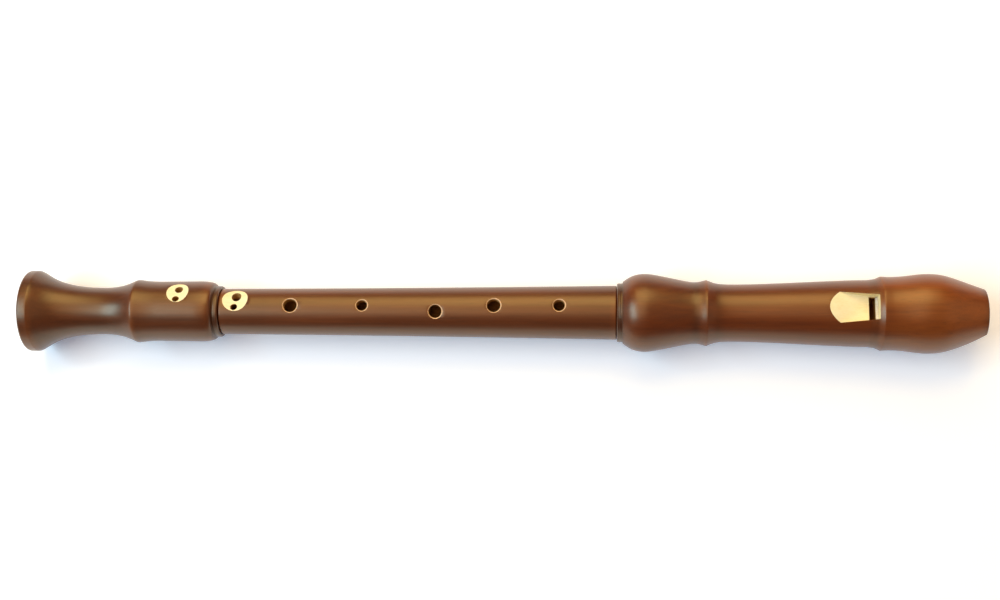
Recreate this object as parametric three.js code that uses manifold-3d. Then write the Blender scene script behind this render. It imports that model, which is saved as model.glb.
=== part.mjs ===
// Alto recorder: three turned wooden joints, the block in the head and the cork lappings on the tenons.
// Millimetres. +X runs from the foot to the beak and +Z points out of the window. The origin lies
// under the middle of the instrument, on the surface that it rests on.

import * as THREE from "three";
import { mergeVertices } from "three/addons/utils/BufferGeometryUtils.js";
import Module from "manifold-3d";

// Whole instrument: the three lengths that show, and the gap between neighbouring pieces
const footLength = 100.8;
const middleLength = 206.5;
const headLength = 192.7;
const fitGap = 0.3;

// Foot joint, outside, from the bell end
const bellRadius = 21;
const bellEdgeRound = 1.4;
const bellLandLength = 3.4;
const waistPlace = 38.8;
const waistRadius = 12.2;
const ridgePlace = 57;
const ridgeRadius = 16.4;
const ridgeFallLength = 12;
const barrelLowRadius = 15.55;

// Foot joint, outside, from the socket mouth
const barrelHighRadius = 15.8;
const barrelEndLength = 11.8;
const footBeadLength = 2.9;
const footBeadRadius = 13.3;
const footGrooveDepth = 0.6;
const barrelEndRadius = 13.55;
const edgeEase = 0.5;

// Foot joint, inside
const footSocketRadius = 10.5;
const footSocketDepth = 17;
const footBoreTopRadius = 7;
const footBoreEndRadius = 6.5;
const bellMouthRadius = 8;
const bellMouthDepth = 5;

// Middle joint, outside and bore
const middleFootRadius = 11.9;
const middleHeadRadius = 14.2;
const middleBoreFootRadius = 7.2;
const middleBoreHeadRadius = 9.4;

// Tenons: the wood's clearance in its socket, and the recess that holds the cork lapping
const tenonClearance = 0.45;
const lappingRecessDepth = 1.1;
const upperLappingLength = 24;
const upperLappingInset = 4;
const lowerLappingLength = 9;
const lowerLappingInset = 3;

// Head joint, outside, from the socket mouth
const collarRadius = 15.5;
const collarLength = 3;
const bulbStartRadius = 16.3;
const bulbPlace = 14.8;
const bulbRadius = 20.5;
const bulbEndPlace = 40.5;
const bulbEndRadius = 16.2;
const headBeadPlace = 46.8;
const headBeadRadius = 17.35;
const neckPlace = 60.4;
const neckRadius = 15.05;

// Head joint, outside, from the tip of the beak
const ringFootLength = 61.4;
const ringFootRadius = 17.62;
const ringLength = 54.9;
const ringRadius = 19.5;
const ringLandLength = 50.8;
const ringLandRadius = 19.3;
const bulgeLength = 30.2;
const bulgeRadius = 20.95;
const tipRadius = 13.25;
const tipRound = 0.9;

// Head joint, inside
const headSocketRadius = 12.6;
const headSocketDepth = 34;
const headBoreRadius = 9.5;

// Windway, window and labium. The window's end wall is placed from the tip of the beak, and the
// block's chamfer stands out of the windway into the window.
const windowWallLength = 57.4;
const windwayWidth = 13;
const platformRise = 0.3;
const windwayHeight = 1.3;
const blockChamfer = 1;
const roofChamfer = 0.6;
const windowLength = 4.65;
const labiumHeightShare = 0.3;
const labiumThickness = 0.35;
const labiumUndercutLength = 17.5;
const rampAngle = THREE.MathUtils.degToRad(18.5);
const rampWideLength = 20.6;
const rampWideWidth = 16.4;

// Beak: a large drum is taken out of its underside, through the block as well
const beakCutRadius = 95;
const beakLipHeight = 5;
const beakCutAngle = THREE.MathUtils.degToRad(20.5);

// Single holes of the middle joint, the one nearest the head first and the thumb hole last: their
// places from its foot end as shares of its length, and their turns away from the window's line
const holeRim = 0.85;
const holeUndercut = 0.5;
const firstHoleWidth = 6;
const secondHoleWidth = 7;
const thirdHoleWidth = 6.7;
const fourthHoleWidth = 5.6;
const fifthHoleWidth = 7;
const thumbHoleWidth = 6;
const middleHolePlaceShares = [0.8555, 0.6915, 0.545, 0.361, 0.181, 0.911];
const middleHoleWidths = [
  firstHoleWidth,
  secondHoleWidth,
  thirdHoleWidth,
  fourthHoleWidth,
  fifthHoleWidth,
  thumbHoleWidth,
];
const middleHoleTurns = [4, 4, -10.7, 4, 4, 183].map(THREE.MathUtils.degToRad);

// Double holes: a large and a small one in a scooped hollow. The sixth pair is placed from the
// foot end of the middle joint, the seventh from the floor of the foot's socket.
const sixthPair = { largeWidth: 4.7, smallWidth: 3.3, largeTurn: 32.5, smallTurn: -0.5, scoopTurn: 20 };
const seventhPair = { largeWidth: 3.9, smallWidth: 3.3, largeTurn: 36.5, smallTurn: 12.5, scoopTurn: 28 };
const sixthPairPlace = 8.5;
const sixthScoopDepth = 1.65;
const seventhPairPlace = 3.8;
const seventhScoopDepth = 1.32;
const scoopRadius = 13.5;
const pairStagger = 0.7;

// How finely round shapes are faceted, and how far every cut runs past the wood
const turnedSides = 40;
const sweepSteps = 6;
const slowSweepSteps = 3;
const holeSides = 16;
const scoopSides = 48;
const beakCutSides = 160;
const cutOverrun = 3;

// Places along X that several pieces share
const quarterTurn = Math.PI / 2;
const bellEnd = -(footLength + middleLength + headLength) / 2;
const footMouth = bellEnd + footLength;
const headMouth = footMouth + middleLength;
const beakTip = headMouth + headLength;
const footSocketFloor = footMouth - footSocketDepth;
const headSocketFloor = headMouth + headSocketDepth;
const windowWall = beakTip - windowWallLength;
const blockFace = windowWall - blockChamfer;
const labiumEdge = windowWall - windowLength;

// Heights and radii above the bore's axis that several pieces share
const axisHeight = Math.max(bellRadius, bulbRadius, bulgeRadius);
const blockRadius = headBoreRadius - fitGap;
const windwayFloor = blockRadius + platformRise;
const windwayRoof = windwayFloor + windwayHeight;
const labiumHeight = windwayFloor + labiumHeightShare * windwayHeight;
const upperTenonRadius = headSocketRadius - tenonClearance;
const lowerTenonRadius = footSocketRadius - tenonClearance;

// Finishes
const stainedWood = new THREE.MeshStandardMaterial({ color: 0x54200f, roughness: 0.35, metalness: 0 });
const blockWood = new THREE.MeshStandardMaterial({ color: 0xa8623a, roughness: 0.7, metalness: 0 });
const corkLapping = new THREE.MeshStandardMaterial({ color: 0xc49a6a, roughness: 0.85, metalness: 0 });

const wasm = await Module();
wasm.setup();

// The outline of a turned piece, as points of radius and place along the bore's axis.
// A sweep is a cubic curve. Its shares say how far its two handles have gone along and out.
class Outline {
  constructor(place, radius) {
    this.points = [new THREE.Vector2(radius, place)];
  }

  line(place, radius) {
    this.points.push(new THREE.Vector2(radius, place));
    return this;
  }

  sweep(place, radius, handleShares, steps = sweepSteps) {
    const start = this.points.at(-1);
    const end = new THREE.Vector2(radius, place);
    const [startAlong, startOut, endAlong, endOut] = handleShares;
    const handle = (along, out) => new THREE.Vector2(
      THREE.MathUtils.lerp(start.x, end.x, out),
      THREE.MathUtils.lerp(start.y, end.y, along),
    );
    const startHandle = handle(startAlong, startOut);
    const endHandle = handle(endAlong, endOut);
    const curve = new THREE.CubicBezierCurve(start, startHandle, endHandle, end);
    this.points.push(...curve.getPoints(steps).slice(1));
    return this;
  }

  close() {
    return this.line(this.points[0].y, this.points[0].x);
  }
}

// Solids: a closed geometry becomes one that can be joined and cut
function solid(geometry) {
  geometry.deleteAttribute("normal");
  geometry.deleteAttribute("uv");
  const merged = mergeVertices(geometry);
  return new wasm.Manifold(new wasm.Mesh({
    numProp: 3,
    vertProperties: merged.attributes.position.array,
    triVerts: merged.index.array,
  }));
}

function turned(outline) {
  const geometry = new THREE.LatheGeometry(outline.close().points, turnedSides);
  geometry.rotateZ(-quarterTurn);
  return solid(geometry);
}

// A box between two places along X, as wide as given and between two heights
function bar(startPlace, endPlace, width, lowHeight, highHeight) {
  const geometry = new THREE.BoxGeometry(endPlace - startPlace, width, highHeight - lowHeight);
  geometry.translate((startPlace + endPlace) / 2, 0, (lowHeight + highHeight) / 2);
  return solid(geometry);
}

// A prism whose side view is given by points of place and height, carried across the instrument
function sidePrism(points, width) {
  const shape = new THREE.Shape(points.map(([place, height]) => new THREE.Vector2(place, height)));
  const geometry = new THREE.ExtrudeGeometry(shape, { depth: width, bevelEnabled: false });
  geometry.translate(0, 0, -width / 2);
  geometry.rotateX(quarterTurn);
  return solid(geometry);
}

// A prism whose plan is given by points of place and side, standing up from the bore's axis
function planPrism(points, height) {
  const shape = new THREE.Shape(points.map(([place, side]) => new THREE.Vector2(place, side)));
  return solid(new THREE.ExtrudeGeometry(shape, { depth: height, bevelEnabled: false }));
}

// Turned pieces
function footOutline() {
  const flareStart = bellEnd + bellEdgeRound + bellLandLength;
  const waist = bellEnd + waistPlace;
  const ridge = bellEnd + ridgePlace;
  const barrelEnd = footMouth - barrelEndLength;
  const groove = footMouth - footBeadLength;
  return new Outline(bellEnd, bellRadius - bellEdgeRound)
    .sweep(bellEnd + bellEdgeRound, bellRadius, [0, 0.55, 0.45, 1])
    .line(flareStart, bellRadius)
    .sweep(waist, waistRadius, [0.13, 0.16, 0.26, 1])
    .sweep(ridge, ridgeRadius, [0.65, 0, 0.9, 0.95])
    .sweep(ridge + ridgeFallLength, barrelLowRadius, [0.13, 0, 0.37, 1])
    .line(barrelEnd, barrelHighRadius)
    .sweep(groove - footGrooveDepth, barrelEndRadius, [0.29, 0, 1, 0.04])
    .line(groove, footBeadRadius - footGrooveDepth)
    .line(groove + edgeEase, footBeadRadius)
    .line(footMouth - edgeEase, footBeadRadius)
    .line(footMouth, footBeadRadius - edgeEase)
    .line(footMouth, footSocketRadius)
    .line(footSocketFloor, footSocketRadius)
    .line(footSocketFloor, footBoreTopRadius)
    .line(bellEnd + bellMouthDepth, footBoreEndRadius)
    .line(bellEnd, bellMouthRadius);
}

function middleOutline() {
  const lowerEnd = footSocketFloor + fitGap;
  const lowerShoulder = footMouth + fitGap;
  const upperShoulder = headMouth - fitGap;
  const upperEnd = headSocketFloor - fitGap;
  const lowerLapping = lappingPlaces("lower");
  const upperLapping = lappingPlaces("upper");
  const lowerRecessRadius = lowerTenonRadius - lappingRecessDepth;
  const upperRecessRadius = upperTenonRadius - lappingRecessDepth;
  return new Outline(lowerEnd, lowerTenonRadius - edgeEase)
    .line(lowerEnd + edgeEase, lowerTenonRadius)
    .line(lowerLapping.start, lowerTenonRadius)
    .line(lowerLapping.start, lowerRecessRadius)
    .line(lowerLapping.end, lowerRecessRadius)
    .line(lowerLapping.end, lowerTenonRadius)
    .line(lowerShoulder, lowerTenonRadius)
    .line(lowerShoulder, middleFootRadius - edgeEase)
    .line(lowerShoulder + edgeEase, middleFootRadius)
    .sweep(upperShoulder - edgeEase, middleHeadRadius, [0.33, 0.16, 0.67, 0.52], slowSweepSteps)
    .line(upperShoulder, middleHeadRadius - edgeEase)
    .line(upperShoulder, upperTenonRadius)
    .line(upperLapping.start, upperTenonRadius)
    .line(upperLapping.start, upperRecessRadius)
    .line(upperLapping.end, upperRecessRadius)
    .line(upperLapping.end, upperTenonRadius)
    .line(upperEnd - edgeEase, upperTenonRadius)
    .line(upperEnd, upperTenonRadius - edgeEase)
    .line(upperEnd, middleBoreHeadRadius)
    .line(lowerEnd, middleBoreFootRadius);
}

function headOutline() {
  return new Outline(headMouth, collarRadius - edgeEase)
    .line(headMouth + edgeEase, collarRadius)
    .line(headMouth + collarLength, collarRadius)
    .line(headMouth + collarLength, bulbStartRadius)
    .sweep(headMouth + bulbPlace, bulbRadius, [0.18, 0.28, 0.4, 1])
    .sweep(headMouth + bulbEndPlace, bulbEndRadius, [0.22, 0, 0.81, 1])
    .sweep(headMouth + headBeadPlace, headBeadRadius, [0.5, 0, 0.76, 0.8])
    .sweep(headMouth + neckPlace, neckRadius, [0.26, 0.64, 0.35, 1])
    .sweep(beakTip - ringFootLength, ringFootRadius, [0.27, 0, 0.77, 1])
    .sweep(beakTip - ringLength, ringRadius, [0.48, 0.32, 0.44, 0])
    .line(beakTip - ringLength + edgeEase, ringRadius)
    .line(beakTip - ringLandLength, ringLandRadius)
    .sweep(beakTip - bulgeLength, bulgeRadius, [0.48, 0, 0.68, 1])
    .sweep(beakTip - tipRound, tipRadius, [0.31, 0, 0.37, 0.17])
    .sweep(beakTip, tipRadius - tipRound, [0.55, 0, 1, 0.45])
    .line(beakTip, headBoreRadius)
    .line(headSocketFloor, headBoreRadius)
    .line(headSocketFloor, headSocketRadius)
    .line(headMouth, headSocketRadius);
}

// Where the recess of a lapping starts and ends along its tenon
function lappingPlaces(tenon) {
  if (tenon === "lower") {
    const end = footMouth + fitGap - lowerLappingInset;
    return { start: end - lowerLappingLength, end };
  }
  const start = headMouth - fitGap + upperLappingInset;
  return { start, end: start + upperLappingLength };
}

function lapping(tenon, tenonRadius, socketRadius) {
  const { start, end } = lappingPlaces(tenon);
  const innerRadius = tenonRadius - lappingRecessDepth + fitGap;
  const outerRadius = socketRadius - fitGap;
  return turned(new Outline(start + fitGap, outerRadius)
    .line(end - fitGap, outerRadius)
    .line(end - fitGap, innerRadius)
    .line(start + fitGap, innerRadius));
}

// Puts a cut that stands along +Y at its place on the bore's axis, turned away from the window's line
function radialCut(geometry, place, turn) {
  geometry.rotateX(quarterTurn - turn);
  geometry.translate(place, 0, 0);
  return solid(geometry);
}

// A tone hole's shaft, which widens a little towards the bore
function holeShaft(place, turn, width, woodRadius) {
  const reach = woodRadius + cutOverrun;
  const shaft = new THREE.CylinderGeometry(width / 2, width / 2 + holeUndercut, reach, holeSides);
  shaft.translate(0, reach / 2, 0);
  return radialCut(shaft, place, turn);
}

// The bevel around a tone hole's rim, a cone of 45 degrees
function holeBevel(place, turn, width, woodRadius) {
  const height = holeRim + cutOverrun;
  const bevel = new THREE.CylinderGeometry(width / 2 + height, width / 2, height, holeSides);
  bevel.translate(0, woodRadius - holeRim + height / 2, 0);
  return radialCut(bevel, place, turn);
}

// The scoop around a pair of holes: a drum that lies across the joint
function scoopCut(place, turn, depth, woodRadius) {
  const drum = new THREE.CylinderGeometry(scoopRadius, scoopRadius, woodRadius * 2, scoopSides);
  drum.translate(0, 0, woodRadius + scoopRadius - depth);
  drum.rotateX(-turn);
  drum.translate(place, 0, 0);
  return solid(drum);
}

function pairCuts(place, pair, scoopDepth, woodRadius) {
  const inRadians = THREE.MathUtils.degToRad;
  return [
    scoopCut(place, inRadians(pair.scoopTurn), scoopDepth, woodRadius),
    holeShaft(place + pairStagger / 2, inRadians(pair.largeTurn), pair.largeWidth, woodRadius),
    holeShaft(place - pairStagger / 2, inRadians(pair.smallTurn), pair.smallWidth, woodRadius),
  ];
}

function cutAll(body, cuts) {
  return cuts.reduce((rest, cut) => rest.subtract(cut), body);
}

// Joints
function footJoint() {
  const place = footSocketFloor - seventhPairPlace;
  return cutAll(turned(footOutline()), pairCuts(place, seventhPair, seventhScoopDepth, barrelHighRadius));
}

function middleJoint() {
  const singleCuts = middleHolePlaceShares.flatMap((share, index) => {
    const place = footMouth + share * middleLength;
    const woodRadius = THREE.MathUtils.lerp(middleFootRadius, middleHeadRadius, share);
    const hole = [place, middleHoleTurns[index], middleHoleWidths[index], woodRadius];
    return [holeShaft(...hole), holeBevel(...hole)];
  });
  const pair = pairCuts(footMouth + sixthPairPlace, sixthPair, sixthScoopDepth, middleFootRadius);
  return cutAll(turned(middleOutline()), [...singleCuts, ...pair]);
}

function windowCuts() {
  const top = bulgeRadius + cutOverrun;
  const rampStart = labiumEdge - (top - labiumHeight) / Math.tan(rampAngle);
  const spread = (rampWideWidth - windwayWidth) / rampWideLength;
  const farWidth = windwayWidth + spread * (windowWall - rampStart);
  const ramp = sidePrism([
    [rampStart, top],
    [labiumEdge, labiumHeight],
    [windowWall, labiumHeight],
    [windowWall, top],
  ], farWidth);
  const plan = planPrism([
    [windowWall, -windwayWidth / 2],
    [windowWall, windwayWidth / 2],
    [rampStart, farWidth / 2],
    [rampStart, -farWidth / 2],
  ], top);
  const undercut = sidePrism([
    [windowWall, labiumHeight - labiumThickness],
    [labiumEdge, labiumHeight - labiumThickness],
    [labiumEdge - labiumUndercutLength, 0],
    [windowWall, 0],
  ], windwayWidth);
  return [ramp.intersect(plan), bar(labiumEdge, windowWall, windwayWidth, 0, top), undercut];
}

function windwayCuts() {
  const channel = bar(labiumEdge, beakTip + cutOverrun, windwayWidth, 0, windwayRoof);
  const chamfer = sidePrism([
    [windowWall, windwayRoof],
    [windowWall + roofChamfer, windwayRoof],
    [windowWall, windwayRoof + roofChamfer],
  ], windwayWidth);
  return [channel, chamfer];
}

function beakCut() {
  const width = bulgeRadius * 2 + cutOverrun;
  const drum = new THREE.CylinderGeometry(beakCutRadius, beakCutRadius, width, beakCutSides);
  const centre = beakTip + beakCutRadius * Math.sin(beakCutAngle);
  drum.translate(centre, 0, beakLipHeight - beakCutRadius * Math.cos(beakCutAngle));
  return solid(drum);
}

function headJoint() {
  return cutAll(turned(headOutline()), [...windowCuts(), ...windwayCuts(), beakCut()]);
}

function blockPlug() {
  const plug = new THREE.CylinderGeometry(blockRadius, blockRadius, beakTip - blockFace, turnedSides);
  plug.rotateZ(-quarterTurn);
  plug.translate((blockFace + beakTip) / 2, 0, 0);
  const platform = bar(blockFace, beakTip, windwayWidth - fitGap * 2, 0, windwayFloor);
  const chamfer = sidePrism([
    [blockFace - cutOverrun, windwayFloor + cutOverrun],
    [blockFace - cutOverrun, windwayFloor - blockChamfer - cutOverrun],
    [windowWall + cutOverrun, windwayFloor + cutOverrun],
  ], windwayWidth);
  return cutAll(solid(plug).add(platform), [chamfer, beakCut()]);
}

// The scene graph
function named(name, body, material) {
  const { vertProperties, triVerts } = body.getMesh();
  const geometry = new THREE.BufferGeometry();
  geometry.setAttribute("position", new THREE.BufferAttribute(vertProperties, 3));
  geometry.setIndex(new THREE.BufferAttribute(triVerts, 1));
  geometry.computeVertexNormals();
  const mesh = new THREE.Mesh(geometry, material);
  mesh.name = name;
  return mesh;
}

const instrument = new THREE.Group();
instrument.position.z = axisHeight;
instrument.add(
  named("foot_joint", footJoint(), stainedWood),
  named("middle_joint", middleJoint(), stainedWood),
  named("head_joint", headJoint(), stainedWood),
  named("block", blockPlug(), blockWood),
  named("upper_tenon_cork", lapping("upper", upperTenonRadius, headSocketRadius), corkLapping),
  named("lower_tenon_cork", lapping("lower", lowerTenonRadius, footSocketRadius), corkLapping),
);

const recorder = new THREE.Group();
recorder.add(instrument);

export default recorder;
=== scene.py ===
import math

import bmesh
import bpy
import numpy as np
from mathutils import Matrix, Vector


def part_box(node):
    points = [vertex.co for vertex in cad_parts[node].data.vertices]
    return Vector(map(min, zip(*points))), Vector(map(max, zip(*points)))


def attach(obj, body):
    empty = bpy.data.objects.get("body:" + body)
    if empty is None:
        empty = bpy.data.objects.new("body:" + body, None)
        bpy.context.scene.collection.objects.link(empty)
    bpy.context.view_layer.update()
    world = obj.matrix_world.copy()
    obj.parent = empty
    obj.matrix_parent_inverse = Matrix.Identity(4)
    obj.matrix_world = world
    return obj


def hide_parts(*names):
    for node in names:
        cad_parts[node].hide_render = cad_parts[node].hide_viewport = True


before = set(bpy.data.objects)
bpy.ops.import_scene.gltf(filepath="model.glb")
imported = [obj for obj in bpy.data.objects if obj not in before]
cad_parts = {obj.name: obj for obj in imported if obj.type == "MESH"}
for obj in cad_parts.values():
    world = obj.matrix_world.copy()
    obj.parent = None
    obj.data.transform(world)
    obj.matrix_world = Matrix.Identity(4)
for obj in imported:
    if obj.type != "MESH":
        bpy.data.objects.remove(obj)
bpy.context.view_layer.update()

# Pieces are worked out in millimetres around the bore's axis and put into the frame in metres
MM = 0.001
foot_low, foot_high = (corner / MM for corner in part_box("foot_joint"))
middle_low, middle_high = (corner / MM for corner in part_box("middle_joint"))
head_low, head_high = (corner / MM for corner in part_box("head_joint"))
block_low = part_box("block")[0] / MM
upper_low, upper_high = (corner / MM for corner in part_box("upper_tenon_cork"))
lower_low, lower_high = (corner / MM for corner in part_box("lower_tenon_cork"))

AXIS_HEIGHT = (foot_low.z + foot_high.z) / 2
BELL_END = foot_low.x
FOOT_MOUTH = foot_high.x
HEAD_MOUTH = head_low.x
BEAK_TIP = head_high.x
MIDDLE_LENGTH = HEAD_MOUTH - FOOT_MOUTH
FIT_GAP = 0.3
EDGE_EASE = 0.5
STAIN_CREEP = 2.0

# Foot joint
BELL_RADIUS = (foot_high.y - foot_low.y) / 2
BELL_EDGE_ROUND = 1.4
BELL_LAND = 3.4
WAIST_PLACE = BELL_END + 38.8
WAIST_RADIUS = 12.2
RIDGE_PLACE = BELL_END + 57
RIDGE_RADIUS = 16.4
RIDGE_FALL = 12
BARREL_LOW_RADIUS = 15.55
BARREL_HIGH_RADIUS = 15.8
BARREL_END = FOOT_MOUTH - 11.8
BARREL_END_RADIUS = 13.55
FOOT_BEAD_LENGTH = 2.9
FOOT_BEAD_RADIUS = 13.3
FOOT_GROOVE_DEPTH = 0.6
FOOT_SOCKET_RADIUS = 10.5
FOOT_SOCKET_FLOOR = FOOT_MOUTH - 17
FOOT_BORE_TOP_RADIUS = 7.0
FOOT_BORE_END_RADIUS = 6.5
BELL_MOUTH_RADIUS = 8.0
BELL_MOUTH_DEPTH = 5.0

# Middle joint and its tenons
MIDDLE_FOOT_RADIUS = 11.9
MIDDLE_HEAD_RADIUS = 14.2
BORE_FOOT_RADIUS = 7.2
BORE_HEAD_RADIUS = 9.4
TENON_CLEARANCE = 0.45
RECESS_DEPTH = 1.1

# Head joint
COLLAR_RADIUS = 15.5
COLLAR_LENGTH = 3.0
COLLAR_GROOVE_DEPTH = 0.22
BULB_START_RADIUS = 16.3
BULB_PLACE = HEAD_MOUTH + 14.8
BULB_RADIUS = 20.5
BULB_END = HEAD_MOUTH + 40.5
BULB_END_RADIUS = 16.2
BEAD_PLACE = HEAD_MOUTH + 46.8
BEAD_RADIUS = 17.35
NECK_PLACE = HEAD_MOUTH + 60.4
NECK_RADIUS = 15.05
RING_FOOT = BEAK_TIP - 61.4
RING_FOOT_RADIUS = 17.62
RING_PLACE = BEAK_TIP - 54.9
RING_RADIUS = 19.5
RING_LAND = BEAK_TIP - 50.8
RING_LAND_RADIUS = 19.3
BULGE_PLACE = BEAK_TIP - 30.2
BULGE_RADIUS = 20.95
TIP_RADIUS = 13.25
TIP_ROUND = 0.9
HEAD_SOCKET_RADIUS = 12.6
HEAD_SOCKET_FLOOR = HEAD_MOUTH + 34
HEAD_BORE_RADIUS = 9.5

# Window, windway and beak
WINDOW_WALL = BEAK_TIP - 57.4
BLOCK_CHAMFER = 1.0
LABIUM_EDGE = WINDOW_WALL - 4.65
WINDWAY_WIDTH = 13.0
WINDWAY_FLOOR = HEAD_BORE_RADIUS
WINDWAY_HEIGHT = 1.3
ROOF_CHAMFER = 0.6
LABIUM_HEIGHT = WINDWAY_FLOOR + 0.3 * WINDWAY_HEIGHT
LABIUM_THICKNESS = 0.35
UNDERCUT_LENGTH = 17.5
RAMP_ANGLE = math.radians(18.5)
RAMP_SPREAD = 3.4 / 20.6
BEAK_CUT_RADIUS = 95.0
BEAK_LIP_HEIGHT = 5.0
BEAK_CUT_ANGLE = math.radians(20.5)

# Single holes: place as a share of the middle joint's length, turn from the window's line, width
HOLE_PLACE_SHARES = (0.8555, 0.6915, 0.545, 0.361, 0.181, 0.911)
HOLE_TURNS = (4, 4, -10.7, 4, 4, 183)
HOLE_WIDTHS = (6.0, 7.0, 6.7, 5.6, 7.0, 6.0)
HOLE_RIM = 0.5
HOLE_UNDERCUT = 0.5

# Double holes: place, turn and width of each hole, turn and depth of the scoop that both lie in
SIXTH_PLACE = FOOT_MOUTH + 8.5
SIXTH_PAIR = {"place": SIXTH_PLACE, "large": (32.5, 4.7), "small": (-0.5, 3.3), "scoop": (20, 1.65)}
SEVENTH_PLACE = FOOT_SOCKET_FLOOR - 3.8
SEVENTH_PAIR = {"place": SEVENTH_PLACE, "large": (36.5, 3.9), "small": (12.5, 3.3), "scoop": (28, 1.32)}
PAIR_STAGGER = 0.7
SCOOP_RADIUS = 13.5

# How much darker than usual the stain is made, at places from each piece's foot end: partly stain taken up
# by the wood, partly painted shade on slopes that turn away from the lamps
FOOT_UPTAKE_AND_SHADING = ((0, 0.5), (40, 0.8), (60, 0.5), (100, 0.3))
MIDDLE_UPTAKE_AND_SHADING = ((0, 0.3), (150, 0.2), (220, 0.2))
HEAD_UPTAKE_AND_SHADING = ((0, 0.3), (15, 0.5), (45, 0.5), (62, 0.2), (135, 0), (145, -0.7), (192, -1.0))

# Wear and painted shade: the outline is compared with its mean over so many steps, in shares of a usual
# depth
RELIEF_STEP = 0.25
RELIEF_STEPS = 48
RELIEF_DEPTH = 0.8
RELIEF_MOST = 1.5

# How finely the surfaces are divided, and how far cutters and corners go
TURNED_SIDES = 192
HOLE_SIDES = 72
DRUM_SIDES = 720
BLOCK_SIDES = 120
SWEEP_STEPS = 240
RIM_RINGS = 7
LONGEST_STEP = 3.0
FINE_STEP = 0.05
RADIUS_STEP = 0.2
OUTLINE_ERROR = 0.003
CORNER_SPREAD = 0.14
RIM_TURN = math.radians(70)
SHARP_ANGLE = math.radians(32)
PLUG_GAP = 0.08
OVERRUN = 3.0

# Wood tones
PORE_TONE = (0.03, 0.006, 0.002)
# Pooled stain and painted shade in the turned recesses
POOLED_STAIN_AND_SHADE_TONE = (0.02, 0.005, 0.002)
WORN_TONE = (0.32, 0.09, 0.02)
CORK_SPECK_TONE = (0.12, 0.055, 0.025)

# Camera, in metres, with its lens in millimetres
CAMERA_TILT = math.radians(13)
CAMERA_ROLL = math.radians(0.194)
CAMERA_PLACE = 0.0584
CAMERA_DISTANCE = 0.7827
CAMERA_RAISE = 0.0067
CAMERA_LENS = 53.7
CAMERA_FILM_WIDTH = 36
CAMERA_SHIFT = -0.119

# Floor, in metres from the middle, and light
FLOOR_REACH = 4
FLOOR_FADE = (0.7, 1.6)
FLOOR_TONE = (0.93, 0.95, 1.0)
FLOOR_GLOW = (0.2, 0.225, 0.29)
BLACK = (0.0, 0.0, 0.0)
WHITE = (1.0, 1.0, 1.0)
WORLD_LIGHT = 0.06
LIGHT_AIM = (0.0, 0.0, 0.02)


# Materials
class Nodes:
    """A node tree that is built node by node."""

    def __init__(self, tree):
        self.tree = tree
        tree.nodes.clear()

    def add(self, kind, settings, inputs, output=0):
        """Adds a node of that type: its settings first, then the values and links of its sockets."""
        node = self.tree.nodes.new(kind)
        for key, value in settings.items():
            if key == "stops":
                set_stops(node.color_ramp, value)
            else:
                setattr(node, key, value)
        for key, value in inputs.items():
            self.feed(node.inputs[key], value)
        return Signal(self, node.outputs[output]) if node.outputs else None

    def feed(self, socket, value):
        if isinstance(value, Signal):
            self.tree.links.new(value.socket, socket)
        elif isinstance(value, tuple) and socket.type == "RGBA":
            socket.default_value = (*value, 1)
        else:
            socket.default_value = value

    def mix(self, factor, first, second):
        settings = {"data_type": "RGBA", "clamp_factor": True}
        return self.add("ShaderNodeMix", settings, {0: factor, 6: first, 7: second}, 2)

    def ray(self, kind):
        return self.add("ShaderNodeLightPath", {}, {}, kind)


class Signal:
    """A value in a node tree, wrapped so that arithmetic on it adds the Math nodes."""

    def __init__(self, nodes, socket):
        self.nodes = nodes
        self.socket = socket

    def maths(self, operation, *values):
        return self.nodes.add("ShaderNodeMath", {"operation": operation}, dict(enumerate(values)))

    def __add__(self, other):
        return self.maths("ADD", self, other)

    def __radd__(self, other):
        return self.maths("ADD", other, self)

    def __sub__(self, other):
        return self.maths("SUBTRACT", self, other)

    def __rsub__(self, other):
        return self.maths("SUBTRACT", other, self)

    def __mul__(self, other):
        return self.maths("MULTIPLY", self, other)

    def __rmul__(self, other):
        return self.maths("MULTIPLY", other, self)

    def clamp(self):
        return self.nodes.add("ShaderNodeClamp", {}, {"Value": self})

    def rise(self, low, high):
        """0 below low, 1 above high, with a soft step between."""
        settings = {"interpolation_type": "SMOOTHSTEP"}
        inputs = {"Value": self, "From Min": low, "From Max": high}
        return self.nodes.add("ShaderNodeMapRange", settings, inputs)


class Finish(Nodes):
    """A material's nodes, which start from the piece's own coordinates."""

    def __init__(self, name):
        self.material = bpy.data.materials.new(name)
        self.material.use_nodes = True
        super().__init__(self.material.node_tree)

    def place(self):
        return self.add("ShaderNodeTexCoord", {}, {}, "Object")

    def noise(self, scales, detail=2.0, roughness=0.5, distortion=0.0):
        """Noise with so many features a metre along X, Y and Z. Few along X make streaks."""
        vector = self.add("ShaderNodeMapping", {}, {"Vector": self.place(), "Scale": scales})
        inputs = {"Vector": vector, "Scale": 1.0, "Detail": detail, "Roughness": roughness}
        inputs["Distortion"] = distortion
        return self.add("ShaderNodeTexNoise", {}, inputs)

    def ramp(self, value, stops):
        return self.add("ShaderNodeValToRGB", {"stops": stops}, {"Fac": value})

    def bump(self, height, depth, strength):
        inputs = {"Height": height, "Distance": depth, "Strength": strength}
        return self.add("ShaderNodeBump", {}, inputs)

    def surface(self, **sockets):
        """Ends the material with a shader that has these socket values, and gives the material."""
        inputs = {name.replace("_", " "): value for name, value in sockets.items()}
        shader = self.add("ShaderNodeBsdfPrincipled", {}, inputs)
        self.add("ShaderNodeOutputMaterial", {}, {"Surface": shader})
        return self.material


def set_stops(color_ramp, stops):
    """Gives a ramp its stops, each a place and a colour."""
    while len(color_ramp.elements) < len(stops):
        color_ramp.elements.new(1.0)
    for element, (place, colour) in zip(color_ramp.elements, stops):
        element.position = place
        element.color = (*colour, 1)


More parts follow.
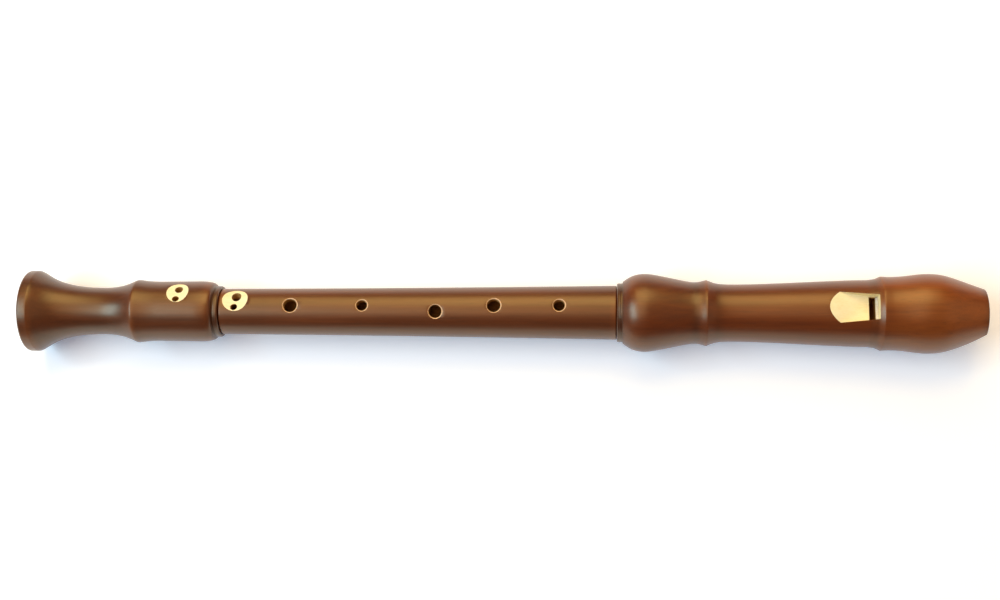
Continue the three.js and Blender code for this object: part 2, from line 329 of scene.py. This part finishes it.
def stained_wood(name, dark, middle, light):
    """Red-brown stain under a satin lacquer: figure and streaks along the bore, and short dark pores.

    The stain is darker in the turned recesses, as pooled stain and painted shade, and worn thin on the
    crests.
    """
    finish = Finish(name)
    figure = finish.noise((7, 170, 170), detail=4, roughness=0.6, distortion=0.4)
    streaks = finish.noise((28, 900, 900), detail=3, roughness=0.6)
    clouds = finish.noise((26, 26, 26))
    pores = finish.noise((75, 3000, 3000), detail=1).rise(0.6, 0.72)
    relief = finish.add("ShaderNodeAttribute", {"attribute_name": "relief"}, {}, "Fac")
    uptake = finish.add("ShaderNodeAttribute", {"attribute_name": "uptake"}, {}, "Fac")
    # Darker by place along the piece: stain taken up, and painted shade on slopes turned from the lamps
    tone = figure * 0.55 + streaks * 0.3 + clouds * 0.15 - uptake * 0.25
    darkest = tuple(np.multiply(dark, 0.35))
    lightest = tuple(np.multiply(light, 1.5))
    stops = [(0.0, darkest), (0.3, dark), (0.5, middle), (0.7, light), (0.95, lightest)]
    stain = finish.ramp(tone, stops)
    pored = finish.mix(pores * 0.3, stain, PORE_TONE)
    # Darker in the recesses: pooled stain and painted shade
    pooled_and_shaded = finish.mix((0 - relief).rise(0.05, 0.8) * 0.6, pored, POOLED_STAIN_AND_SHADE_TONE)
    thin = relief.rise(0.25, 1.1) * clouds.rise(0.35, 0.65)
    worn = finish.mix(thin * 0.35, pooled_and_shaded, WORN_TONE)
    return finish.surface(
        Base_Color=worn,
        Roughness=streaks * 0.12 + 0.34,
        Specular_IOR_Level=0.7,
        Specular_Tint=(1.0, 0.84, 0.54),
        Coat_Weight=0.4,
        Coat_Roughness=0.3,
        Normal=finish.bump(figure * 0.25 + streaks * 0.5 - pores * 0.5, 0.00004, 0.6),
    )


def bare_wood(name, light, middle, dark, roughness):
    """Cut wood without stain: fine fibres along the bore, wider bands and short darker flecks."""
    finish = Finish(name)
    fibres = finish.noise((35, 1500, 1500), detail=3, roughness=0.6)
    bands = finish.noise((9, 300, 300))
    flecks = finish.noise((160, 2400, 2400), detail=1).rise(0.62, 0.74)
    tone = finish.ramp(fibres * 0.5 + bands * 0.5, [(0.3, dark), (0.5, middle), (0.7, light)])
    return finish.surface(
        Base_Color=finish.mix(flecks * 0.3, tone, dark),
        Roughness=fibres * 0.15 + roughness,
        Specular_IOR_Level=0.3,
        Normal=finish.bump(fibres - flecks * 0.4, 0.00005, 0.6),
    )


def sheet_cork():
    """Tan grains of uneven tone, with dark specks and small pits."""
    finish = Finish("cork")
    inputs = {"Vector": finish.place(), "Scale": 900.0}
    grains = finish.add("ShaderNodeTexVoronoi", {}, inputs, "Distance")
    blotches = finish.noise((260, 260, 260), detail=3)
    specks = finish.noise((700, 700, 700), detail=1).rise(0.62, 0.7)
    tone = finish.ramp(blotches * 0.7 + grains * 0.4, [
        (0.25, (0.3, 0.16, 0.07)),
        (0.5, (0.5, 0.3, 0.14)),
        (0.8, (0.62, 0.41, 0.22)),
    ])
    return finish.surface(
        Base_Color=finish.mix(specks * 0.7, tone, CORK_SPECK_TONE),
        Roughness=blotches * 0.15 + 0.72,
        Specular_IOR_Level=0.3,
        Normal=finish.bump(grains - specks, 0.00012, 0.7),
    )


STAINED, BARE, BORE, RIM = range(4)
RED_STAIN = stained_wood(
    "red_stain", (0.09, 0.013, 0.001), (0.136, 0.024, 0.002), (0.195, 0.042, 0.004),
)
BROWN_STAIN = stained_wood(
    "brown_stain", (0.074, 0.014, 0.002), (0.112, 0.023, 0.004), (0.16, 0.038, 0.008),
)
BARE_WOOD = bare_wood("bare_wood", (0.97, 0.88, 0.62), (0.95, 0.84, 0.55), (0.9, 0.76, 0.45), 0.5)
BORE_WOOD = bare_wood("bore_wood", (0.58, 0.33, 0.11), (0.48, 0.25, 0.075), (0.32, 0.14, 0.04), 0.45)
RIM_WOOD = bare_wood("rim_wood", (0.85, 0.6, 0.38), (0.75, 0.48, 0.28), (0.6, 0.34, 0.18), 0.45)
WOODS = [BROWN_STAIN, BARE_WOOD, BORE_WOOD, RIM_WOOD]
BLOCK_WOOD = bare_wood("block_wood", (0.86, 0.8, 0.68), (0.8, 0.72, 0.58), (0.66, 0.54, 0.38), 0.55)
CORK = sheet_cork()


# Outlines
class Outline:
    """A turned piece's closed outline around the bore's axis, as stretches of place and radius.

    A sweep is a cubic curve. Its shares say how far its two handles have gone along and out.
    """

    def __init__(self, place, radius):
        self.stretches = [np.array([[place, radius]], float)]
        self.finishes = []

    def line(self, place, radius, finish=STAINED):
        return self.stretch(np.array([[place, radius]], float), finish)

    def sweep(self, place, radius, shares, finish=STAINED):
        """Start (1-t)^3 + 3 handle (1-t)^2 t + 3 handle (1-t) t^2 + end t^3."""
        start = self.stretches[-1][-1]
        end = np.array([place, radius], float)
        first, second = start + (end - start) * np.reshape(shares, (2, 2))
        t = np.linspace(0, 1, SWEEP_STEPS + 1)[1:, None]
        near, far = 3 * (1 - t) ** 2 * t, 3 * (1 - t) * t**2
        return self.stretch((1 - t) ** 3 * start + near * first + far * second + t**3 * end, finish)

    def stretch(self, points, finish):
        self.stretches.append(points)
        self.finishes.append(finish)
        return self

    def close(self, finish):
        return self.stretch(self.stretches[0], finish)

    def outer_radius(self, places):
        """The largest radius at each place, from points close along the outline."""
        line = np.concatenate(self.stretches)
        run = np.append(0, np.cumsum(np.hypot(*np.diff(line, axis=0).T)))
        fine = np.arange(0, run[-1], RADIUS_STEP / 2)
        place, radius = (np.interp(fine, run, line[:, axis]) for axis in range(2))
        steps = np.arange(place.min(), place.max(), RADIUS_STEP)
        largest = np.zeros(len(steps))
        np.maximum.at(largest, np.clip(np.searchsorted(steps, place), 0, len(steps) - 1), radius)
        return np.interp(places, steps, largest)

    def rings(self):
        """Place and radius of each ring that the piece is divided into, and the finish after each ring.

        The outline's corners are rounded by a weighted mean along it, a bell curve of CORNER_SPREAD. Rings
        lie closer where it bends: a step of length s on a bend b is s^2 b / 8 off the true line.
        """
        line = np.concatenate(self.stretches)
        run = np.append(0, np.cumsum(np.hypot(*np.diff(line, axis=0).T)))
        count = int(run[-1] / FINE_STEP)
        fine = np.arange(count) * run[-1] / count
        step = run[-1] / count
        points = np.stack([np.interp(fine, run, line[:, axis]) for axis in range(2)], axis=1)
        waves = np.fft.rfftfreq(count, step)[:, None]
        spread = np.exp(-2 * (np.pi * CORNER_SPREAD * waves) ** 2)
        points = np.fft.irfft(np.fft.rfft(points, axis=0) * spread, count, axis=0)
        ahead = np.roll(points, -1, axis=0) - points
        heading = np.arctan2(ahead[:, 1], ahead[:, 0])
        turn = (heading - np.roll(heading, 1) + np.pi) % (2 * np.pi) - np.pi
        density = 1 / LONGEST_STEP + np.sqrt(np.abs(turn) / step / (8 * OUTLINE_ERROR))
        share = np.cumsum(density) * step
        ends = run[np.cumsum([len(part) for part in self.stretches]) - 1]
        changes = np.flatnonzero(np.diff(self.finishes)) + 1
        even = np.interp(np.arange(0, share[-1], 1), share, fine)
        places = np.union1d(even, ends[changes])
        places = places[places < run[-1] - step]
        middles = (places + np.append(places[1:], run[-1])) / 2
        finish = np.asarray(self.finishes)[np.searchsorted(ends[1:], middles)]
        ring = [np.interp(places, fine, points[:, axis], period=run[-1]) for axis in range(2)]
        return ring[0], ring[1], finish


def foot_outline():
    groove = FOOT_MOUTH - FOOT_BEAD_LENGTH
    return (
        Outline(BELL_END, BELL_RADIUS - BELL_EDGE_ROUND)
        .sweep(BELL_END + BELL_EDGE_ROUND, BELL_RADIUS, (0, 0.55, 0.45, 1))
        .line(BELL_END + BELL_EDGE_ROUND + BELL_LAND, BELL_RADIUS)
        .sweep(WAIST_PLACE, WAIST_RADIUS, (0.13, 0.16, 0.26, 1))
        .sweep(RIDGE_PLACE, RIDGE_RADIUS, (0.65, 0, 0.9, 0.95))
        .sweep(RIDGE_PLACE + RIDGE_FALL, BARREL_LOW_RADIUS, (0.13, 0, 0.37, 1))
        .line(BARREL_END, BARREL_HIGH_RADIUS)
        .sweep(groove - FOOT_GROOVE_DEPTH, BARREL_END_RADIUS, (0.29, 0, 1, 0.04))
        .line(groove, FOOT_BEAD_RADIUS - FOOT_GROOVE_DEPTH)
        .line(groove + EDGE_EASE, FOOT_BEAD_RADIUS)
        .line(FOOT_MOUTH - EDGE_EASE, FOOT_BEAD_RADIUS)
        .line(FOOT_MOUTH, FOOT_BEAD_RADIUS - EDGE_EASE)
        .line(FOOT_MOUTH, FOOT_SOCKET_RADIUS + EDGE_EASE)
        .line(FOOT_MOUTH - EDGE_EASE, FOOT_SOCKET_RADIUS)
        .line(FOOT_MOUTH - STAIN_CREEP, FOOT_SOCKET_RADIUS)
        .line(FOOT_SOCKET_FLOOR, FOOT_SOCKET_RADIUS, BARE)
        .line(FOOT_SOCKET_FLOOR, FOOT_BORE_TOP_RADIUS, BARE)
        .line(BELL_END + BELL_MOUTH_DEPTH, FOOT_BORE_END_RADIUS, BORE)
        .line(BELL_END, BELL_MOUTH_RADIUS, BORE)
        .close(STAINED)
    )


def middle_outline():
    lower_tenon = FOOT_SOCKET_RADIUS - TENON_CLEARANCE
    upper_tenon = HEAD_SOCKET_RADIUS - TENON_CLEARANCE
    lower_end, lower_shoulder = middle_low.x, FOOT_MOUTH + PLUG_GAP
    upper_end, upper_shoulder = middle_high.x, HEAD_MOUTH - PLUG_GAP
    return (
        Outline(lower_end, lower_tenon - EDGE_EASE)
        .line(lower_end + EDGE_EASE, lower_tenon, BARE)
        .line(lower_low.x - FIT_GAP, lower_tenon, BARE)
        .line(lower_low.x - FIT_GAP, lower_tenon - RECESS_DEPTH, BARE)
        .line(lower_high.x + FIT_GAP, lower_tenon - RECESS_DEPTH, BARE)
        .line(lower_high.x + FIT_GAP, lower_tenon, BARE)
        .line(lower_shoulder - STAIN_CREEP, lower_tenon, BARE)
        .line(lower_shoulder, lower_tenon)
        .line(lower_shoulder, MIDDLE_FOOT_RADIUS - EDGE_EASE)
        .line(lower_shoulder + EDGE_EASE, MIDDLE_FOOT_RADIUS)
        .sweep(upper_shoulder - EDGE_EASE, MIDDLE_HEAD_RADIUS, (0.33, 0.16, 0.67, 0.52))
        .line(upper_shoulder, MIDDLE_HEAD_RADIUS - EDGE_EASE)
        .line(upper_shoulder, upper_tenon)
        .line(upper_shoulder + STAIN_CREEP, upper_tenon)
        .line(upper_low.x - FIT_GAP, upper_tenon, BARE)
        .line(upper_low.x - FIT_GAP, upper_tenon - RECESS_DEPTH, BARE)
        .line(upper_high.x + FIT_GAP, upper_tenon - RECESS_DEPTH, BARE)
        .line(upper_high.x + FIT_GAP, upper_tenon, BARE)
        .line(upper_end - EDGE_EASE, upper_tenon, BARE)
        .line(upper_end, upper_tenon - EDGE_EASE, BARE)
        .line(upper_end, BORE_HEAD_RADIUS, BARE)
        .line(lower_end, BORE_FOOT_RADIUS, BORE)
        .close(BARE)
    )


def head_outline():
    outline = Outline(HEAD_MOUTH, COLLAR_RADIUS - EDGE_EASE)
    outline.line(HEAD_MOUTH + EDGE_EASE, COLLAR_RADIUS)
    for groove in (HEAD_MOUTH + COLLAR_LENGTH / 3, HEAD_MOUTH + COLLAR_LENGTH * 2 / 3):
        outline.line(groove - COLLAR_GROOVE_DEPTH, COLLAR_RADIUS)
        outline.line(groove, COLLAR_RADIUS - COLLAR_GROOVE_DEPTH)
        outline.line(groove + COLLAR_GROOVE_DEPTH, COLLAR_RADIUS)
    return (
        outline.line(HEAD_MOUTH + COLLAR_LENGTH, COLLAR_RADIUS)
        .line(HEAD_MOUTH + COLLAR_LENGTH, BULB_START_RADIUS)
        .sweep(BULB_PLACE, BULB_RADIUS, (0.18, 0.28, 0.4, 1))
        .sweep(BULB_END, BULB_END_RADIUS, (0.22, 0, 0.81, 1))
        .sweep(BEAD_PLACE, BEAD_RADIUS, (0.5, 0, 0.76, 0.8))
        .sweep(NECK_PLACE, NECK_RADIUS, (0.26, 0.64, 0.35, 1))
        .sweep(RING_FOOT, RING_FOOT_RADIUS, (0.27, 0, 0.77, 1))
        .sweep(RING_PLACE, RING_RADIUS, (0.48, 0.32, 0.44, 0))
        .line(RING_PLACE + EDGE_EASE, RING_RADIUS)
        .line(RING_LAND, RING_LAND_RADIUS)
        .sweep(BULGE_PLACE, BULGE_RADIUS, (0.48, 0, 0.68, 1))
        .sweep(BEAK_TIP - TIP_ROUND, TIP_RADIUS, (0.31, 0, 0.37, 0.17))
        .sweep(BEAK_TIP, TIP_RADIUS - TIP_ROUND, (0.55, 0, 1, 0.45))
        .line(BEAK_TIP, HEAD_BORE_RADIUS)
        .line(HEAD_SOCKET_FLOOR, HEAD_BORE_RADIUS, BORE)
        .line(HEAD_SOCKET_FLOOR, HEAD_SOCKET_RADIUS, BARE)
        .line(HEAD_MOUTH + STAIN_CREEP, HEAD_SOCKET_RADIUS, BARE)
        .line(HEAD_MOUTH + EDGE_EASE, HEAD_SOCKET_RADIUS)
        .line(HEAD_MOUTH, HEAD_SOCKET_RADIUS + EDGE_EASE)
        .close(STAINED)
    )


# Meshes
def make_object(name, grid, closed, finish, materials):
    """A closed surface from rings of points (ring, side, XYZ) in millimetres around the bore's axis.

    Closed, its last ring joins its first. Otherwise each end has a flat cap. Finish is one number, or one
    for each band of faces after a ring.
    """
    rings, sides = grid.shape[:2]
    bands = rings if closed else rings - 1
    ring, side = np.arange(bands)[:, None], np.arange(sides)[None, :]
    after, beside = (ring + 1) % rings, (side + 1) % sides
    corners = ring * sides + side, ring * sides + beside, after * sides + beside, after * sides + side
    faces = np.stack(np.broadcast_arrays(*corners), axis=-1).reshape(-1, 4).tolist()
    indices = np.broadcast_to(np.reshape(finish, (-1, 1)), (bands, sides)).ravel()
    if not closed:
        faces += [list(range(sides))[::-1], list(range((rings - 1) * sides, rings * sides))]
        indices = np.append(indices, indices[[0, -1]])
    mesh = bpy.data.meshes.new(name)
    mesh.from_pydata(((grid.reshape(-1, 3) + (0, 0, AXIS_HEIGHT)) * MM).tolist(), [], faces)
    for material in materials:
        mesh.materials.append(material)
    mesh.polygons.foreach_set("material_index", indices.astype(np.int32))
    shape = bmesh.new()
    shape.from_mesh(mesh)
    bmesh.ops.recalc_face_normals(shape, faces=shape.faces)
    shape.to_mesh(mesh)
    shape.free()
    made = bpy.data.objects.new(name, mesh)
    bpy.context.scene.collection.objects.link(made)
    return made


def turned(name, outline, materials=WOODS):
    """The outline carried round the axis: (x, r sin t, r cos t) at each ring of place x and radius r."""
    place, radius, finish = outline.rings()
    turn = np.arange(TURNED_SIDES) * 2 * np.pi / TURNED_SIDES
    grid = np.stack(np.broadcast_arrays(
        place[:, None],
        radius[:, None] * np.sin(turn),
        radius[:, None] * np.cos(turn),
    ), axis=-1)
    return make_object(name, grid, True, finish, materials)


def cut(piece, cutters):
    """Takes the cutters out of the piece and leaves it with one plain mesh."""
    for cutter in cutters:
        difference = piece.modifiers.new(cutter.name, "BOOLEAN")
        difference.operation = "DIFFERENCE"
        difference.solver = "MANIFOLD"
        difference.object = cutter
    settled = piece.evaluated_get(bpy.context.evaluated_depsgraph_get())
    whole, piece_mesh = piece.data, bpy.data.meshes.new_from_object(settled)
    piece.modifiers.clear()
    piece.data = piece_mesh
    bpy.data.meshes.remove(whole)
    piece_mesh.name = piece.name
    for cutter in cutters:
        bpy.data.meshes.remove(cutter.data)
    return piece


def finished(piece, body, node):
    """Smooth shading up to the sharp edges, the piece's body, and its node in model.glb hidden."""
    piece.data.shade_smooth()
    piece.data.set_sharp_from_angle(angle=SHARP_ANGLE)
    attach(piece, body)
    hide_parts(node)


def store_wear_and_shade(piece, outline, uptake):
    """Keeps two values on each point of a stained piece.

    Relief is how far the outline stands out there from its own mean, in shares of RELIEF_DEPTH: above 0 on
    crests, below 0 in recesses, where it darkens the stain as pooled stain and painted shade. Uptake and
    shading is how much darker the stain is made, given by places from the piece's foot end: partly stain
    taken up, partly painted shade on slopes that turn away from the lamps.
    """
    x = np.empty(len(piece.data.vertices) * 3, np.float32)
    piece.data.vertices.foreach_get("co", x)
    x = x[::3] / MM
    beside = RELIEF_STEPS // 2
    steps = np.arange(x.min() - beside * RELIEF_STEP, x.max() + beside * RELIEF_STEP, RELIEF_STEP)
    radius = outline.outer_radius(steps)
    weights = np.full(RELIEF_STEPS + 1, 1 / (RELIEF_STEPS + 1))
    mean = np.convolve(np.pad(radius, beside, mode="edge"), weights, mode="valid")
    relief = np.clip((radius - mean) / RELIEF_DEPTH, -RELIEF_MOST, RELIEF_MOST)
    places, shares = np.transpose(uptake)
    values = {"relief": np.interp(x, steps, relief), "uptake": np.interp(x - x.min(), places, shares)}
    for name, value in values.items():
        stored = piece.data.attributes.new(name, "FLOAT", "POINT")
        stored.data.foreach_set("value", value.astype(np.float32))


# Cutters
def placed(local, place, turn):
    """Points (along, across, out) at a place on the axis, turned away from the window's line to +Y."""
    turn = math.radians(turn)
    across, out = (0, math.cos(turn), -math.sin(turn)), (0, math.sin(turn), math.cos(turn))
    return local @ np.array([(1, 0, 0), across, out]) + (place, 0, 0)


def single_hole(place, turn, width, wood_radius):
    """A finger hole's cutter: a shaft that widens towards the bore, and a rim rolled over to the round.

    Its rings have radius p and height h. On the rim, with f from 0 to RIM_TURN, p grows by rim (1 - cos f)
    and h by rim sin f, both as shares of their last values, up to the round's own height there,
    sqrt(R^2 - (p sin a)^2) at angle a around the hole. A last ring stands clear of the wood.
    """
    around = np.arange(HOLE_SIDES) * 2 * np.pi / HOLE_SIDES
    rim_radius = width / 2 + HOLE_RIM
    round_height = np.sqrt(wood_radius**2 - (rim_radius * np.sin(around)) ** 2)
    roll = np.linspace(0, RIM_TURN, RIM_RINGS)
    out = width / 2 + HOLE_RIM * (1 - np.cos(roll)) / (1 - np.cos(RIM_TURN))
    below = HOLE_RIM * (1 - np.sin(roll) / np.sin(RIM_TURN))
    clear = OVERRUN * HOLE_RIM
    clear_radius = rim_radius + clear * np.sin(RIM_TURN)
    radius = [width / 2 + HOLE_UNDERCUT, *out, clear_radius, clear_radius]
    heights = [
        np.zeros((1, HOLE_SIDES)),
        round_height - below[:, None],
        round_height[None, :] + clear * np.cos(RIM_TURN),
        np.full((1, HOLE_SIDES), wood_radius + OVERRUN),
    ]
    radius = np.array(radius)[:, None]
    local = np.stack(np.broadcast_arrays(
        radius * np.cos(around),
        radius * np.sin(around),
        np.concatenate(heights),
    ), axis=-1)
    finish = [BORE] + [RIM] * (len(radius) - 2)
    return make_object("hole_cutter", placed(local, place, turn), False, finish, WOODS)


def shaft(place, turn, width, wood_radius):
    """A plain hole's cutter, a cone from the bore's axis to outside the wood."""
    around = np.arange(HOLE_SIDES) * 2 * np.pi / HOLE_SIDES
    radius = np.array([width / 2 + HOLE_UNDERCUT, width / 2])[:, None]
    height = np.array([0, wood_radius + OVERRUN])[:, None]
    along, across = radius * np.cos(around), radius * np.sin(around)
    local = np.stack(np.broadcast_arrays(along, across, height), axis=-1)
    return make_object("shaft_cutter", placed(local, place, turn), False, BORE, WOODS)


def drum(centre, radius, length):
    """Points of a drum across the bore: centre + (r cos a, 0, r sin a), at both its ends."""
    around = np.arange(DRUM_SIDES) * 2 * np.pi / DRUM_SIDES
    ends = np.array([-length / 2, length / 2])[:, None]
    rims = np.broadcast_arrays(radius * np.cos(around), ends, radius * np.sin(around))
    return np.stack(rims, axis=-1) + centre


def pair_of_holes(pair, wood_radius):
    """The cutters of a double hole: a drum for the scoop and a shaft for each hole."""
    turn, depth = pair["scoop"]
    scoop = drum((0, 0, wood_radius + SCOOP_RADIUS - depth), SCOOP_RADIUS, wood_radius * 2)
    return [
        make_object("scoop_cutter", placed(scoop, pair["place"], turn), False, BARE, WOODS),
        shaft(pair["place"] + PAIR_STAGGER / 2, *pair["large"], wood_radius),
        shaft(pair["place"] - PAIR_STAGGER / 2, *pair["small"], wood_radius),
    ]


def prism(name, places, heights, half_widths, finish=BARE):
    """A side view of places and heights, carried across the bore from -half width to +half width."""
    places, heights, half_widths = (np.array(values, float) for values in (places, heights, half_widths))
    half_widths = np.broadcast_to(half_widths, places.shape)
    grid = [np.stack([places, half_widths * side, heights], axis=-1) for side in (-1, 1)]
    return make_object(name, np.stack(grid), False, finish, WOODS)


def beak_cutter(name, finish):
    """The drum that hollows the beak's underside."""
    centre_place = BEAK_TIP + BEAK_CUT_RADIUS * math.sin(BEAK_CUT_ANGLE)
    centre_height = BEAK_LIP_HEIGHT - BEAK_CUT_RADIUS * math.cos(BEAK_CUT_ANGLE)
    grid = drum((centre_place, 0, centre_height), BEAK_CUT_RADIUS, BULGE_RADIUS * 2 + OVERRUN)
    return make_object(name, grid, False, finish, WOODS)


# Pieces
def foot_wood():
    outline = foot_outline()
    piece = cut(turned("foot_wood", outline), pair_of_holes(SEVENTH_PAIR, BARREL_HIGH_RADIUS))
    store_wear_and_shade(piece, outline, FOOT_UPTAKE_AND_SHADING)
    finished(piece, "foot", "foot_joint")


def middle_wood():
    outline = middle_outline()
    places = FOOT_MOUTH + np.array(HOLE_PLACE_SHARES) * MIDDLE_LENGTH
    holes = zip(places, HOLE_TURNS, HOLE_WIDTHS, outline.outer_radius(places))
    cutters = [single_hole(*hole) for hole in holes] + pair_of_holes(SIXTH_PAIR, MIDDLE_FOOT_RADIUS)
    piece = cut(turned("middle_wood", outline), cutters)
    store_wear_and_shade(piece, outline, MIDDLE_UPTAKE_AND_SHADING)
    finished(piece, "middle", "middle_joint")


def head_wood():
    outline = head_outline()
    top = BULGE_RADIUS + OVERRUN
    ramp_start = LABIUM_EDGE - (top - LABIUM_HEIGHT) / math.tan(RAMP_ANGLE)
    ramp_places = [ramp_start, LABIUM_EDGE, WINDOW_WALL, WINDOW_WALL]
    ramp_widths = [(WINDWAY_WIDTH + RAMP_SPREAD * (WINDOW_WALL - place)) / 2 for place in ramp_places]
    tip = BEAK_TIP + OVERRUN
    roof = WINDWAY_FLOOR + WINDWAY_HEIGHT
    lip = LABIUM_HEIGHT - LABIUM_THICKNESS
    half = WINDWAY_WIDTH / 2
    window_places = [LABIUM_EDGE, WINDOW_WALL, WINDOW_WALL, LABIUM_EDGE]
    cutters = [
        prism("ramp_cutter", ramp_places, [top, LABIUM_HEIGHT, LABIUM_HEIGHT, top], ramp_widths),
        prism("window_cutter", window_places, [lip, lip, top, top], half),
        prism(
            "undercut_cutter",
            [WINDOW_WALL, LABIUM_EDGE, LABIUM_EDGE - UNDERCUT_LENGTH, WINDOW_WALL],
            [lip, lip, 0, 0],
            half,
            BORE,
        ),
        prism("windway_cutter", [WINDOW_WALL, tip, tip, WINDOW_WALL], [0, 0, roof, roof], half),
        prism(
            "roof_cutter",
            [WINDOW_WALL - OVERRUN, WINDOW_WALL + ROOF_CHAMFER, WINDOW_WALL - OVERRUN],
            [roof, roof, roof + ROOF_CHAMFER + OVERRUN],
            half,
        ),
        beak_cutter("beak_cutter", STAINED),
    ]
    piece = cut(turned("head_wood", outline, [RED_STAIN, BARE_WOOD, BORE_WOOD]), cutters)
    store_wear_and_shade(piece, outline, HEAD_UPTAKE_AND_SHADING)
    finished(piece, "head", "head_joint")


def block_plug():
    """A bar of the bore's round with the windway's floor raised on it, cut with the beak.

    It is chamfered to the window, and its end in the bore is given the bore's dark wood as painted shade.
    """
    face = block_low.x
    radius = HEAD_BORE_RADIUS - PLUG_GAP
    half = WINDWAY_WIDTH / 2 - PLUG_GAP
    start = math.atan2(half, math.sqrt(radius**2 - half**2))
    turn = np.linspace(start, 2 * np.pi - start, BLOCK_SIDES)
    side, height = radius * np.sin(turn), radius * np.cos(turn)
    side = np.concatenate([side, [-half, half]])
    height = np.concatenate([height, [WINDWAY_FLOOR, WINDWAY_FLOOR]])
    places = np.array([face, face + BLOCK_CHAMFER / 2, BEAK_TIP])[:, None]
    grid = np.stack(np.broadcast_arrays(places, side, height), axis=-1)
    # The end face in the bore takes the bore's dark wood: painted shade
    piece = make_object("block_plug", grid, False, [1, 0], [BLOCK_WOOD, BORE_WOOD])
    low = WINDWAY_FLOOR - BLOCK_CHAMFER
    chamfer = prism(
        "chamfer_cutter",
        [face - OVERRUN, WINDOW_WALL + OVERRUN, face - OVERRUN],
        [low - OVERRUN, WINDWAY_FLOOR + OVERRUN, WINDWAY_FLOOR + OVERRUN],
        WINDWAY_WIDTH,
        0,
    )
    cut(piece, [chamfer, beak_cutter("block_beak_cutter", 0)])
    finished(piece, "block", "block")


def lapping(name, low, high, tenon_radius, socket_radius, body, node):
    """A ring of cork in its tenon's recess, with eased edges."""
    inner, outer = tenon_radius - RECESS_DEPTH + PLUG_GAP, socket_radius - PLUG_GAP
    outline = (
        Outline(low.x, outer - EDGE_EASE)
        .line(low.x + EDGE_EASE, outer)
        .line(high.x - EDGE_EASE, outer)
        .line(high.x, outer - EDGE_EASE)
        .line(high.x, inner)
        .line(low.x, inner)
        .close(0)
    )
    finished(turned(name, outline, [CORK]), body, node)


foot_wood()
middle_wood()
head_wood()
block_plug()
lapping(
    "upper_cork", upper_low, upper_high, HEAD_SOCKET_RADIUS - TENON_CLEARANCE, HEAD_SOCKET_RADIUS,
    "upper_lapping", "upper_tenon_cork",
)
lapping(
    "lower_cork", lower_low, lower_high, FOOT_SOCKET_RADIUS - TENON_CLEARANCE, FOOT_SOCKET_RADIUS,
    "lower_lapping", "lower_tenon_cork",
)


# Camera, floor and light
def set_camera():
    """Straight over the instrument, leaning a little to the near side, with a small roll."""
    level_right = Vector((1, 0, 0))
    level_up = Vector((0, math.cos(CAMERA_TILT), math.sin(CAMERA_TILT)))
    back = level_right.cross(level_up)
    right = level_right * math.cos(CAMERA_ROLL) + level_up * math.sin(CAMERA_ROLL)
    up = level_up * math.cos(CAMERA_ROLL) - level_right * math.sin(CAMERA_ROLL)
    aim = Vector((CAMERA_PLACE, 0, AXIS_HEIGHT * MM))
    place = aim + back * CAMERA_DISTANCE + level_up * CAMERA_RAISE
    camera = bpy.data.cameras.new("camera")
    camera.lens = CAMERA_LENS
    camera.sensor_width = CAMERA_FILM_WIDTH
    camera.shift_x = CAMERA_SHIFT
    holder = bpy.data.objects.new("camera", camera)
    holder.matrix_world = Matrix.Translation(place) @ Matrix((right, up, back)).transposed().to_4x4()
    bpy.context.scene.collection.objects.link(holder)
    bpy.context.scene.camera = holder


def lay_floor():
    """A white floor that takes the shadow, with enough glow of its own to be white where it is open.

    Far from the part it is plain white, so that it meets the background without a line.
    """
    finish = Finish("floor")
    seen = finish.ray("Is Camera Ray") + finish.ray("Is Glossy Ray")
    seen = (seen + finish.ray("Is Transmission Ray")).clamp()
    distance = finish.add("ShaderNodeVectorMath", {"operation": "LENGTH"}, {0: finish.place()}, "Value")
    far = finish.ray("Is Camera Ray") * distance.rise(*FLOOR_FADE)
    near_glow = finish.mix(seen, BLACK, FLOOR_GLOW)
    white = finish.surface(
        Base_Color=FLOOR_TONE,
        Roughness=1.0,
        Specular_IOR_Level=0.0,
        Emission_Color=finish.mix(far, near_glow, WHITE),
        Emission_Strength=1.0,
    )
    mesh = bpy.data.meshes.new("floor")
    corners = [(x * FLOOR_REACH, y * FLOOR_REACH, 0) for x, y in ((-1, -1), (1, -1), (1, 1), (-1, 1))]
    mesh.from_pydata(corners, [], [(0, 1, 2, 3)])
    mesh.materials.append(white)
    floor = bpy.data.objects.new("floor", mesh)
    bpy.context.scene.collection.objects.link(floor)


def area_light(name, place, width, depth, power, colour):
    light = bpy.data.lights.new(name, "AREA")
    light.color = colour
    light.shape = "RECTANGLE"
    light.size = width
    light.size_y = depth
    light.energy = power
    holder = bpy.data.objects.new(name, light)
    toward = (Vector(LIGHT_AIM) - Vector(place)).to_track_quat("-Z", "Y")
    holder.matrix_world = Matrix.Translation(place) @ toward.to_matrix().to_4x4()
    bpy.context.scene.collection.objects.link(holder)


def set_world():
    """Faint light from everywhere, also for reflections, and plain white where the camera looks."""
    world = bpy.data.worlds.new("studio")
    world.use_nodes = True
    nodes = Nodes(world.node_tree)
    looked_at = (nodes.ray("Is Camera Ray") + nodes.ray("Is Transmission Ray")).clamp()
    strength = looked_at * (1 - WORLD_LIGHT) + WORLD_LIGHT
    background = nodes.add("ShaderNodeBackground", {}, {"Color": WHITE, "Strength": strength})
    nodes.add("ShaderNodeOutputWorld", {}, {"Surface": background})
    bpy.context.scene.world = world


set_camera()
lay_floor()
area_light("window_light", (-1.41, -0.2, 1.66), 1.5, 0.7, 32.0, (0.52, 0.84, 1.0))
area_light("top_light", (-0.6, 0.0, 2.1), 1.7, 1.9, 22.0, (1.0, 0.6, 0.3))
area_light("back_light", (-0.06, 1.12, 1.34), 1.3, 1.2, 22.0, (1.0, 0.72, 0.3))
area_light("right_light", (1.6, 0.0, 1.5), 2.4, 1.4, 5.0, (1.0, 0.9, 0.6))
set_world()
bpy.context.scene.view_settings.view_transform = "Standard"
